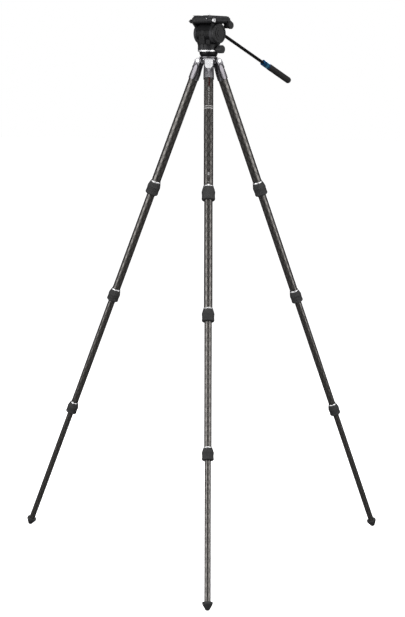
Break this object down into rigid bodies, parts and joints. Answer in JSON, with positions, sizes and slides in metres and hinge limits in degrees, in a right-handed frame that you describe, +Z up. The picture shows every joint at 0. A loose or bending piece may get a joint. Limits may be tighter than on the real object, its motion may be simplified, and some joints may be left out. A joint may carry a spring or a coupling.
{
  "type": "video tripod with fluid head",
  "caption": "Tall column-less carbon-fibre video tripod with twist-lock telescopic legs, a levelling ball base and a compact fluid pan-and-tilt head with a side pan bar.",
  "frame": {"origin": "the floor point under the tripod's upright pan axis, with all three feet on the floor", "axes": "+Z up along the pan axis, -Y over the front leg"},
  "size_m": [1.1278, 1.0367, 1.6224],
  "materials": {
    "carbon": "clear-coated woven carbon fibre",
    "titanium_grey": "bead-blasted, hard-anodised grey",
    "black_casting": "fine-textured black",
    "silver": "bright turned and clear anodised",
    "steel": "polished stainless",
    "tab_silver": "satin silver",
    "rubber": "knurled",
    "grip_foam": "fine-grained",
    "black_plastic": "moulded, fine grain",
    "blue_metal": "blue anodised",
    "arm_tube": "black anodised",
    "liner": "low-friction bearing plastic",
    "spring_steel": "wound spring steel",
    "vial": "clear bubble vial",
    "pad": "ribbed"
  },
  "bodies": {
    "spider": {"spider": "titanium_grey", "hinge_bolts": "steel"},
    "level_collar": {"level_liner": "liner"},
    "level_ball": {"level_ball": "black_casting", "level_washer": "silver", "base_ring": "silver", "pan_cartridge": "silver"},
    "level_knob": {"level_knob": "black_plastic"},
    "pan_housing": {"pan_housing": "black_casting", "level_vial": "vial", "tilt_cartridges": "silver", "counterbalance_spring": "spring_steel"},
    "pan_knob": {"pan_lock_knob": "black_plastic"},
    "platform": {"tilt_platform": "black_casting", "tilt_shaft": "spring_steel"},
    "drag_dial": {"drag_dial": "black_plastic"},
    "tilt_lever": {"tilt_lock_lever": "black_plastic"},
    "clamp_jaw": {"clamp_jaw": "black_casting"},
    "clamp_knob": {"clamp_knob": "black_plastic"},
    "plate_latch": {"plate_latch": "silver"},
    "camera_plate": {"camera_plate": "black_casting", "plate_pads": "pad", "camera_screw": "steel"},
    "arm": {"arm_clamp": "black_casting", "arm_tube": "arm_tube", "arm_collar": "blue_metal", "arm_grip": "grip_foam"},
    "arm_knob": {"arm_knob": "black_plastic"},
    "front_upper": {"front_shoulder": "titanium_grey", "front_tube_1": "carbon"},
    "front_second": {"front_tube_2": "carbon"},
    "front_third": {"front_tube_3": "carbon"},
    "front_lowest": {"front_tube_4": "carbon", "front_foot": "rubber"},
    "front_tab": {"front_angle_tab": "tab_silver"},
    "front_lock_1": {"front_lock_1": "rubber"},
    "front_lock_2": {"front_lock_2": "rubber"},
    "front_lock_3": {"front_lock_3": "rubber"},
    "right_upper": {"right_shoulder": "titanium_grey", "right_tube_1": "carbon"},
    "right_second": {"right_tube_2": "carbon"},
    "right_third": {"right_tube_3": "carbon"},
    "right_lowest": {"right_tube_4": "carbon", "right_foot": "rubber"},
    "right_tab": {"right_angle_tab": "tab_silver"},
    "right_lock_1": {"right_lock_1": "rubber"},
    "right_lock_2": {"right_lock_2": "rubber"},
    "right_lock_3": {"right_lock_3": "rubber"},
    "left_upper": {"left_shoulder": "titanium_grey", "left_tube_1": "carbon"},
    "left_second": {"left_tube_2": "carbon"},
    "left_third": {"left_tube_3": "carbon"},
    "left_lowest": {"left_tube_4": "carbon", "left_foot": "rubber"},
    "left_tab": {"left_angle_tab": "tab_silver"},
    "left_lock_1": {"left_lock_1": "rubber"},
    "left_lock_2": {"left_lock_2": "rubber"},
    "left_lock_3": {"left_lock_3": "rubber"}
  },
  "joints": [
    {"name": "head_pan", "type": "hinge", "parent": "level_ball", "child": "pan_housing", "pos_m": [0, 0, 1.5128], "axis": [0, 0, 1], "continuous": true},
    {"name": "head_tilt", "type": "hinge", "parent": "pan_housing", "child": "platform", "pos_m": [0, 0, 1.5651], "axis": [0.7547, -0.6561, 0], "range_deg": [-45, 75]},
    {"name": "level_lean", "type": "hinge", "parent": "level_collar", "child": "level_ball", "pos_m": [0, 0, 1.5128], "axis": [1, 0, 0], "range_deg": [0, 10]},
    {"name": "level_turn", "type": "hinge", "parent": "spider", "child": "level_collar", "pos_m": [0, 0, 1.5128], "axis": [0, 0, 1], "continuous": true},
    {"name": "arm_swing", "type": "hinge", "parent": "platform", "child": "arm", "pos_m": [-0.00631, 0.072, 1.5986], "axis": [0.7547, -0.6561, 0], "range_deg": [-15, 60]},
    {"name": "front_leg_spread", "type": "hinge", "parent": "spider", "child": "front_upper", "pos_m": [0, -0.028, 1.4858], "axis": [-1, 0, 0], "range_deg": [-22.46, 57]},
    {"name": "right_leg_spread", "type": "hinge", "parent": "spider", "child": "right_upper", "pos_m": [0.02425, 0.014, 1.4858], "axis": [0.5, -0.866, 0], "range_deg": [-22.46, 57]},
    {"name": "left_leg_spread", "type": "hinge", "parent": "spider", "child": "left_upper", "pos_m": [-0.02425, 0.014, 1.4858], "axis": [0.5, 0.866, 0], "range_deg": [-22.46, 57]},
    {"name": "front_section_2", "type": "slide", "parent": "front_upper", "child": "front_second", "axis": [0, -0.382, -0.9241], "range_m": [-0.32, 0]},
    {"name": "front_section_3", "type": "slide", "parent": "front_second", "child": "front_third", "axis": [0, -0.382, -0.9241], "range_m": [-0.358, 0]},
    {"name": "front_section_4", "type": "slide", "parent": "front_third", "child": "front_lowest", "axis": [0, -0.382, -0.9241], "range_m": [-0.386, 0]},
    {"name": "right_section_2", "type": "slide", "parent": "right_upper", "child": "right_second", "axis": [0.3309, 0.191, -0.9241], "range_m": [-0.32, 0]},
    {"name": "right_section_3", "type": "slide", "parent": "right_second", "child": "right_third", "axis": [0.3309, 0.191, -0.9241], "range_m": [-0.358, 0]},
    {"name": "right_section_4", "type": "slide", "parent": "right_third", "child": "right_lowest", "axis": [0.3309, 0.191, -0.9241], "range_m": [-0.386, 0]},
    {"name": "left_section_2", "type": "slide", "parent": "left_upper", "child": "left_second", "axis": [-0.3309, 0.191, -0.9241], "range_m": [-0.32, 0]},
    {"name": "left_section_3", "type": "slide", "parent": "left_second", "child": "left_third", "axis": [-0.3309, 0.191, -0.9241], "range_m": [-0.358, 0]},
    {"name": "left_section_4", "type": "slide", "parent": "left_third", "child": "left_lowest", "axis": [-0.3309, 0.191, -0.9241], "range_m": [-0.386, 0]},
    {"name": "plate_slide", "type": "slide", "parent": "platform", "child": "camera_plate", "axis": [0.6561, 0.7547, 0], "range_m": [-0.025, 0.025]},
    {"name": "clamp_knob_turn", "type": "hinge", "parent": "platform", "child": "clamp_knob", "pos_m": [0.06286, -0.00695, 1.5896], "axis": [0.7547, -0.6561, 0], "range_deg": [0, 180]},
    {"name": "clamp_jaw_slide", "type": "slide", "parent": "platform", "child": "clamp_jaw", "axis": [0.7547, -0.6561, 0], "range_m": [0, 0.0015]},
    {"name": "plate_latch_press", "type": "slide", "parent": "platform", "child": "plate_latch", "axis": [-0.7547, 0.6561, 0], "range_m": [0, 0.0022], "stiffness_N_per_m": 300, "springref_m": -0.002},
    {"name": "pan_knob_turn", "type": "hinge", "parent": "pan_housing", "child": "pan_knob", "pos_m": [0.03472, -0.03018, 1.5188], "axis": [0.7547, -0.6561, 0], "range_deg": [0, 150]},
    {"name": "drag_dial_turn", "type": "hinge", "parent": "platform", "child": "drag_dial", "pos_m": [0.02868, -0.02493, 1.5651], "axis": [0.7547, -0.6561, 0], "range_deg": [0, 120]},
    {"name": "tilt_lever_turn", "type": "hinge", "parent": "platform", "child": "tilt_lever", "pos_m": [-0.02868, 0.02493, 1.5651], "axis": [0.7547, -0.6561, 0], "range_deg": [-60, 0]},
    {"name": "arm_knob_turn", "type": "hinge", "parent": "arm", "child": "arm_knob", "pos_m": [-0.01537, 0.07987, 1.5986], "axis": [0.7547, -0.6561, 0], "range_deg": [0, 180]},
    {"name": "level_knob_turn", "type": "hinge", "parent": "level_ball", "child": "level_knob", "pos_m": [0, 0, 1.4428], "axis": [0, 0, 1], "range_deg": [0, 180]},
    {"name": "front_tab_pull", "type": "slide", "parent": "front_upper", "child": "front_tab", "axis": [0, -0.9241, 0.382], "range_m": [0, 0.005], "stiffness_N_per_m": 400, "springref_m": -0.002},
    {"name": "right_tab_pull", "type": "slide", "parent": "right_upper", "child": "right_tab", "axis": [0.8003, 0.4621, 0.382], "range_m": [0, 0.005], "stiffness_N_per_m": 400, "springref_m": -0.002},
    {"name": "left_tab_pull", "type": "slide", "parent": "left_upper", "child": "left_tab", "axis": [-0.8003, 0.4621, 0.382], "range_m": [0, 0.005], "stiffness_N_per_m": 400, "springref_m": -0.002},
    {"name": "front_lock_1_turn", "type": "hinge", "parent": "front_upper", "child": "front_lock_1", "pos_m": [0, -0.028, 1.4858], "axis": [0, 0.382, 0.9241], "range_deg": [0, 100]},
    {"name": "front_lock_2_turn", "type": "hinge", "parent": "front_second", "child": "front_lock_2", "pos_m": [0, -0.028, 1.4858], "axis": [0, 0.382, 0.9241], "range_deg": [0, 100]},
    {"name": "front_lock_3_turn", "type": "hinge", "parent": "front_third", "child": "front_lock_3", "pos_m": [0, -0.028, 1.4858], "axis": [0, 0.382, 0.9241], "range_deg": [0, 100]},
    {"name": "right_lock_1_turn", "type": "hinge", "parent": "right_upper", "child": "right_lock_1", "pos_m": [0.02425, 0.014, 1.4858], "axis": [-0.3309, -0.191, 0.9241], "range_deg": [0, 100]},
    {"name": "right_lock_2_turn", "type": "hinge", "parent": "right_second", "child": "right_lock_2", "pos_m": [0.02425, 0.014, 1.4858], "axis": [-0.3309, -0.191, 0.9241], "range_deg": [0, 100]},
    {"name": "right_lock_3_turn", "type": "hinge", "parent": "right_third", "child": "right_lock_3", "pos_m": [0.02425, 0.014, 1.4858], "axis": [-0.3309, -0.191, 0.9241], "range_deg": [0, 100]},
    {"name": "left_lock_1_turn", "type": "hinge", "parent": "left_upper", "child": "left_lock_1", "pos_m": [-0.02425, 0.014, 1.4858], "axis": [0.3309, -0.191, 0.9241], "range_deg": [0, 100]},
    {"name": "left_lock_2_turn", "type": "hinge", "parent": "left_second", "child": "left_lock_2", "pos_m": [-0.02425, 0.014, 1.4858], "axis": [0.3309, -0.191, 0.9241], "range_deg": [0, 100]},
    {"name": "left_lock_3_turn", "type": "hinge", "parent": "left_third", "child": "left_lock_3", "pos_m": [-0.02425, 0.014, 1.4858], "axis": [0.3309, -0.191, 0.9241], "range_deg": [0, 100]}
  ],
  "couplings": [
    {"joint": "clamp_knob_turn", "follows": "clamp_jaw_slide", "rad_per_m": 2092.3}
  ]
}
